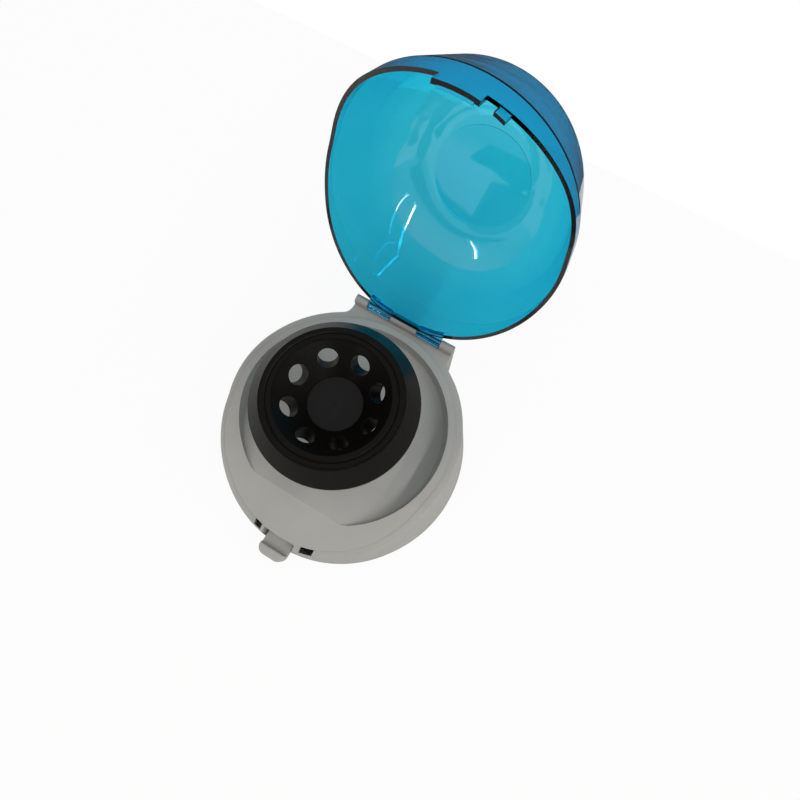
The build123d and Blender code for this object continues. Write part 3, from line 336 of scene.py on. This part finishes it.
SHEET_MM = 0.5
sheet_steel, tree, shader = start_material("steel_stamped_sheets", "56565A", Metallic=1.0)
coords = add_node(tree, "ShaderNodeTexCoord").outputs["Object"]
sheets = add_node(
    tree, "ShaderNodeTexWave", {"Vector": coords, "Scale": wave_scale(SHEET_MM)},
    wave_type="BANDS", bands_direction="Z", wave_profile="SAW",
).outputs["Fac"]
skin(tree, shader, ("3C3C40", "626266"), (0.38, 0.5), sheets, depth_mm=0.05)
dress(sheet_steel, "motor_armature")


def pressed_powder(name, greys, roughness, grit_mm, IOR):
    """Pressed grains, dull and a little uneven in tone, gloss and relief."""
    material, tree, shader = start_material(name, greys[1], Roughness=roughness, IOR=IOR)
    coords = add_node(tree, "ShaderNodeTexCoord").outputs["Object"]
    grit = grain(tree, coords, grit_mm, detail=5)
    skin(
        tree, shader, greys, (roughness - 0.1, roughness + 0.1), grit, depth_mm=0.04, edge_mm=0.2
    )
    return material


dress(pressed_powder("ferrite_sintered", ("2E2E31", "3B3B3F"), 0.55, 0.4, 2.3), "motor_magnets")
dress(pressed_powder("carbon_pressed", ("1D1D1F", "2A2A2D"), 0.5, 0.25, 1.9), "motor_brushes")

# %% [markdown]
# ## Rubber
# The feet and the ring under the motor's plate are moulded nitrile rubber. Rubber takes up the
# mould's matt skin and scatters light at all angles, with hardly any highlight, and dust makes
# it greyer. Its IOR is 1.52.

# %% Rubber materials
def rubber(name, greys):
    """Matt rubber: dust sets its tone and gloss, and the mould's grain its relief."""
    material, tree, shader = start_material(name, greys[1], IOR=1.52, Specular_IOR_Level=0.3)
    coords = add_node(tree, "ShaderNodeTexCoord").outputs["Object"]
    dust = grain(tree, coords, 3, detail=6)
    fine = grain(tree, coords, 0.5)
    skin(tree, shader, greys, (0.72, 0.88), dust, relief=fine, depth_mm=0.03, edge_mm=0.3)
    return material


dress(rubber("nitrile_rubber_moulded_black", ("222222", "2B2B2A")), "rubber_feet")
dress(rubber("nitrile_rubber_moulded_soft_grey", ("2A2A2A", "333332")), "motor_damper")

# %% [markdown]
# ## Electrical parts
# The boards are glass-fibre laminate under a green solder mask, a thin glossy lacquer through
# which the weave just shows. The weave's threads are about 0.5 mm apart, so two crossed waves at
# that pitch give the bump. The other parts are moulded resin or nylon, a shrunk sleeve round each
# capacitor, and PVC on the leads.

# %% Boards
THREAD_MM = 0.5
board_fr4, tree, shader = start_material(
    "glass_fibre_laminate_solder_masked", "1C5C34", Roughness=0.32, IOR=1.55
)
coords = add_node(tree, "ShaderNodeTexCoord").outputs["Object"]
warp, weft = [
    add_node(
        tree, "ShaderNodeTexWave", {"Vector": coords, "Scale": wave_scale(THREAD_MM)},
        wave_type="BANDS", bands_direction=axis,
    ).outputs["Fac"] for axis in "XY"
]
weave = add_node(tree, "ShaderNodeMath", {0: warp, 1: weft}, operation="MULTIPLY").outputs[0]
skin(tree, shader, ("195530", "1F6438"), (0.28, 0.38), weave, depth_mm=0.02)
dress(board_fr4, "control_board", "switch_board")

# %% Chips, capacitors, connectors and leads
RED_LEADS = ("motor_lead_red", "inlet_lead_red")
BLACK_LEADS = ("motor_lead_black", "inlet_lead_black")


def plain_plastic(name, colours, roughness, IOR, grain_mm):
    """A plain moulded or drawn plastic, with a hint of grain."""
    material, tree, shader = start_material(name, colours[1], IOR=IOR)
    coords = add_node(tree, "ShaderNodeTexCoord").outputs["Object"]
    fine = grain(tree, coords, grain_mm, detail=3)
    skin(
        tree, shader, colours, (roughness - 0.05, roughness + 0.07),
        fine, depth_mm=0.01, edge_mm=0.2,
    )
    return material


for name, colours, roughness, IOR, grain_mm, pieces in (
    ("epoxy_resin_moulded_black", ("1B1B1C", "222224"), 0.55, 1.55, 0.6, ["board_chips"]),
    ("PVC_sleeve_shrunk_navy", ("181D33", "1F2744"), 0.25, 1.54, 2.0, ["board_capacitors"]),
    ("nylon_moulded_natural", ("DDD9CC", "E6E2D6"), 0.42, 1.53, 0.6, ["board_connectors"]),
    ("nylon_moulded_cream", ("D8D2C0", "E0DACA"), 0.45, 1.53, 0.6, ["motor_end_cap"]),
    ("PBT_moulded_black", ("19191B", "212123"), 0.4, 1.57, 0.6, ["power_inlet", "lid_switch"]),
    ("PVC_insulation_red", ("9E1713", "B01F1A"), 0.35, 1.54, 0.6, RED_LEADS),
    ("PVC_insulation_black", ("161616", "1E1E1E"), 0.35, 1.54, 0.6, BLACK_LEADS),
    ("PVC_insulation_white", ("D6D3CA", "E0DDD4"), 0.35, 1.54, 0.6, ["switch_leads"]),
):
    dress(plain_plastic(name, colours, roughness, IOR, grain_mm), *pieces)

# %% [markdown]
# ## Copper windings
# The armature has five coils of enamelled copper wire. Each coil fills half of one slot, crosses
# the end of the stack, and fills half of the slot after the next. On the way it climbs from under
# its neighbour to over it, so the five coils lie on each other all round without meeting. The CAD
# model has only the space that they fill. Here every turn is a closed curve through its two slots,
# and a round bevel gives it the wire's thickness. In a slot the turns lie in rows, one further
# from the shaft than the other, and in columns across the slot. Over the ends the rows come closer
# to the shaft, and each column becomes a layer.

# %% Winding
WIRE_MM = 0.34
SLOTS, SLOTS_SPANNED = 5, 2
ROWS, FIRST_ROW_MM, ROW_PITCH_MM = 9, 7.6, 0.42
COLUMNS, FIRST_COLUMN_MM, COLUMN_PITCH_MM = 3, 0.96, 0.38
FIRST_END_ROW_MM, END_ROW_PITCH_MM = 4.42, 0.35
LOWEST_LAYER_MM, LAYER_PITCH_MM, CLIMB_MM = 0.25, 0.36, 2.16
ARC_STEPS = 8
stack_low, stack_top = (corner.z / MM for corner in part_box("motor_armature"))


def one_turn(slot_angle, row, column):
    """Points in mm of one closed turn: over one end, down a slot, over the other, and back up."""
    in_slot = FIRST_ROW_MM + row * ROW_PITCH_MM
    at_middle = FIRST_END_ROW_MM + row * END_ROW_PITCH_MM
    aside = (FIRST_COLUMN_MM - column * COLUMN_PITCH_MM) / in_slot
    start, end = slot_angle + aside, slot_angle + SLOTS_SPANNED * 2 * pi / SLOTS - aside
    over = []
    for step in range(ARC_STEPS + 1):
        along = step / ARC_STEPS
        radius = at_middle + (in_slot - at_middle) * (2 * along - 1) ** 2
        angle = start + (end - start) * along
        rise = LOWEST_LAYER_MM + column * LAYER_PITCH_MM + CLIMB_MM * along
        over.append((radius * cos(angle), radius * sin(angle), rise))
    top = [(x, y, stack_top + rise) for x, y, rise in over]
    bottom = [(x, y, stack_low - rise) for x, y, rise in reversed(over)]
    (x_up, y_up, _), (x_down, y_down, _) = over[0], over[-1]
    down_slot = [(x_down, y_down, z) for z in (stack_top, stack_low)]
    up_slot = [(x_up, y_up, z) for z in (stack_low, stack_top)]
    return top + down_slot + bottom + up_slot


wire = bpy.data.curves.new("winding_wire", "CURVE")
wire.dimensions = "3D"
wire.resolution_u = 2
wire.bevel_depth = WIRE_MM / 2 * MM
wire.bevel_resolution = 1
for slot_number in range(SLOTS):
    for row in range(ROWS):
        for column in range(COLUMNS):
            points = one_turn(2 * pi * slot_number / SLOTS, row, column)
            spline = wire.splines.new("NURBS")
            spline.points.add(len(points) - 1)
            for point, place in zip(spline.points, points):
                point.co = (*(MM * x for x in place), 1)
            spline.order_u = 3
            spline.use_cyclic_u = True
wire_path = bpy.data.objects.new("winding_wire", wire)
windings = bpy.data.objects.new("armature_windings", bpy.data.meshes.new_from_object(wire_path))
bpy.data.objects.remove(wire_path)
windings.data.shade_smooth()
bpy.context.scene.collection.objects.link(windings)
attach(windings, "rotor")
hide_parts("motor_windings")
print("turns:", SLOTS * ROWS * COLUMNS, "vertices:", len(windings.data.vertices))

# %% [markdown]
# The wire is drawn copper under a clear amber enamel, so it is a metal with a glossy coat. Its
# tone drifts a little from turn to turn.

# %% Winding material
wound, tree, shader = start_material(
    "copper_wire_enamelled", "B4603A", Metallic=1.0, Roughness=0.3, Coat_Weight=0.6
)
coords = add_node(tree, "ShaderNodeTexCoord").outputs["Object"]
drift = grain(tree, coords, 2.5, detail=3)
skin(tree, shader, ("843A1C", "B4603A"), (0.25, 0.36), drift)
windings.data.materials.append(wound)
print(wound.name, "on", windings.name)

# %% [markdown]
# ## Table
# The machine stands on a plain pale table, which the photograph shows as pure white. The table is
# one large sheet, painted off-white, that ends a hand's width behind the open lid, so the lid's
# back mirrors the dim room beyond it. For rays that come straight from the camera the paint is
# mixed with a white glow, so the ground reads as white and keeps a trace of the shadow. The lid
# and the metal parts see the paint itself.

# %% Table
TABLE_SIDE_M = 8.0
TABLE_REAR_M = 0.28
GLOW_SHARE = 0.93
floor_mesh = bpy.data.meshes.new("floor_sheet")
sheet = bmesh.new()
bmesh.ops.create_grid(
    sheet, x_segments=1, y_segments=1, size=TABLE_SIDE_M / 2,
    matrix=Matrix.Translation((0, TABLE_REAR_M - TABLE_SIDE_M / 2, 0)),
)
sheet.to_mesh(floor_mesh)
sheet.free()
floor = bpy.data.objects.new("floor_sheet", floor_mesh)
bpy.context.scene.collection.objects.link(floor)

floor_paint, tree, shader = start_material("table_painted_pale", "DCDCDB", Roughness=0.9)
rays = add_node(tree, "ShaderNodeLightPath")
share = add_node(tree, "ShaderNodeMath", {
    0: rays.outputs["Is Camera Ray"], 1: GLOW_SHARE,
}, operation="MULTIPLY")
glow = add_node(tree, "ShaderNodeEmission", {"Color": (1, 1, 1, 1), "Strength": 1.0})
mixed = add_node(tree, "ShaderNodeMixShader", {
    0: share.outputs[0], 1: shader.outputs[0], 2: glow.outputs[0],
})
tree.links.new(mixed.outputs[0], tree.nodes["Material Output"].inputs["Surface"])
floor.data.materials.append(floor_paint)

# %% [markdown]
# ## Light
# The photograph shows a room with ceiling tubes: the shadows are soft, tops are brighter than
# walls, and the polished lid holds narrow bright streaks. So long thin lamps hang side by side
# under the ceiling.

# %% Ceiling tubes
CEILING_M = 1.5
TUBE_WIDE_M = 0.035
TUBE_RADIANCE = 50.0


def tube(name, x, front_y, rear_y):
    """A ceiling tube along Y, as a long thin lamp that shines straight down."""
    light = bpy.data.lights.new(name, "AREA")
    light.shape = "RECTANGLE"
    light.size, light.size_y = TUBE_WIDE_M, rear_y - front_y
    light.energy = TUBE_RADIANCE * pi * light.size * light.size_y
    holder = bpy.data.objects.new(name, light)
    holder.location = (x, (front_y + rear_y) / 2, CEILING_M)
    bpy.context.scene.collection.objects.link(holder)
    print(name, "gives", round(light.energy, 2), "W")


for name, x, front_y, rear_y in (
    ("tube_left", -1.0, -4.0, -0.9),
    ("tube_right", 1.2, -2.2, 2.2),
    ("tube_far_right", 2.2, -2.5, 1.5),
):
    tube(name, x, front_y, rear_y)

# %% [markdown]
# The room around is pale overhead and on the side of the camera, and dims towards the horizon
# behind the machine. Its light depends on the direction alone: it grows with height, and again
# towards the front. The camera itself sees plain white there, and through the lid it has the tone
# of the off-white table, so no edge shows behind the blue.

# %% Room
HORIZON_LIGHT, CEILING_LIGHT, FRONT_LIGHT = 0.08, 0.75, 0.4
THROUGH_LID = 0.75
world = bpy.data.worlds.new("pale_room")
bpy.context.scene.world = world
world.use_nodes = True
tree = world.node_tree
room = tree.nodes["Background"]
room.inputs["Color"].default_value = linear("FFFDFA")
direction = add_node(tree, "ShaderNodeSeparateXYZ", {
    "Vector": add_node(tree, "ShaderNodeTexCoord").outputs["Generated"],
})
walls_to_ceiling = add_node(tree, "ShaderNodeMapRange", {
    "Value": direction.outputs["Z"], "From Min": 0.0, "From Max": 0.8,
    "To Min": HORIZON_LIGHT, "To Max": CEILING_LIGHT,
})
front_wall = add_node(tree, "ShaderNodeMapRange", {
    "Value": direction.outputs["Y"], "From Min": -0.25, "From Max": -0.8,
    "To Min": 0.0, "To Max": FRONT_LIGHT,
})
strength = add_node(tree, "ShaderNodeMath", {
    0: walls_to_ceiling.outputs[0], 1: front_wall.outputs[0],
}, operation="MAXIMUM")
tree.links.new(strength.outputs[0], room.inputs["Strength"])

rays = add_node(tree, "ShaderNodeLightPath")
backdrop = add_node(tree, "ShaderNodeMath", {
    0: rays.outputs["Is Camera Ray"], 1: 1 - THROUGH_LID, 2: THROUGH_LID,
}, operation="MULTIPLY_ADD")
white = add_node(tree, "ShaderNodeBackground", {
    "Color": (1, 1, 1, 1), "Strength": backdrop.outputs[0],
})
seen = add_node(tree, "ShaderNodeMath", {
    0: rays.outputs["Is Camera Ray"], 1: rays.outputs["Is Transmission Ray"],
}, operation="MAXIMUM")
either = add_node(tree, "ShaderNodeMixShader", {
    0: seen.outputs[0], 1: room.outputs[0], 2: white.outputs[0],
})
tree.links.new(either.outputs[0], tree.nodes["World Output"].inputs["Surface"])
print("room light at the horizon, overhead and in front:",
      HORIZON_LIGHT, CEILING_LIGHT, FRONT_LIGHT)

# %% [markdown]
# ## Camera
# The photograph was taken with a phone held about 37 cm away, above the front of the machine and
# turned to one side. Its place was worked out from points whose real distances are known, such as
# the rotor's lip and its eight holes. The turn is a rotation vector that takes the machine's axes
# to the camera's, with X to the right, Y down and Z into the picture.

# %% Camera
TURN = Vector((2.783857, 0.763272, -0.099527))
SHIFT = Vector((-33.62599, 25.08435, 368.60744)) * MM
FOCAL_PX = 546.245
FRAME_PX = 800
SENSOR_MM = 36.0
NEAR_M, FAR_M = 0.01, 50
to_camera = Matrix.Rotation(TURN.length, 3, TURN.normalized())
camera_data = bpy.data.cameras.new("phone")
camera_data.sensor_width = SENSOR_MM
camera_data.lens = FOCAL_PX * SENSOR_MM / FRAME_PX
camera_data.clip_start, camera_data.clip_end = NEAR_M, FAR_M
camera = bpy.data.objects.new("phone", camera_data)
right, down, ahead = to_camera
turned = Matrix((right, -down, -ahead)).transposed().to_4x4()
camera.matrix_world = Matrix.Translation(-(to_camera.transposed() @ SHIFT)) @ turned
bpy.context.scene.collection.objects.link(camera)
bpy.context.scene.camera = camera
bpy.context.scene.view_settings.view_transform = "Standard"
print("lens in mm:", round(camera_data.lens, 2))
print("camera in m:", [round(x, 3) for x in camera.matrix_world.translation])
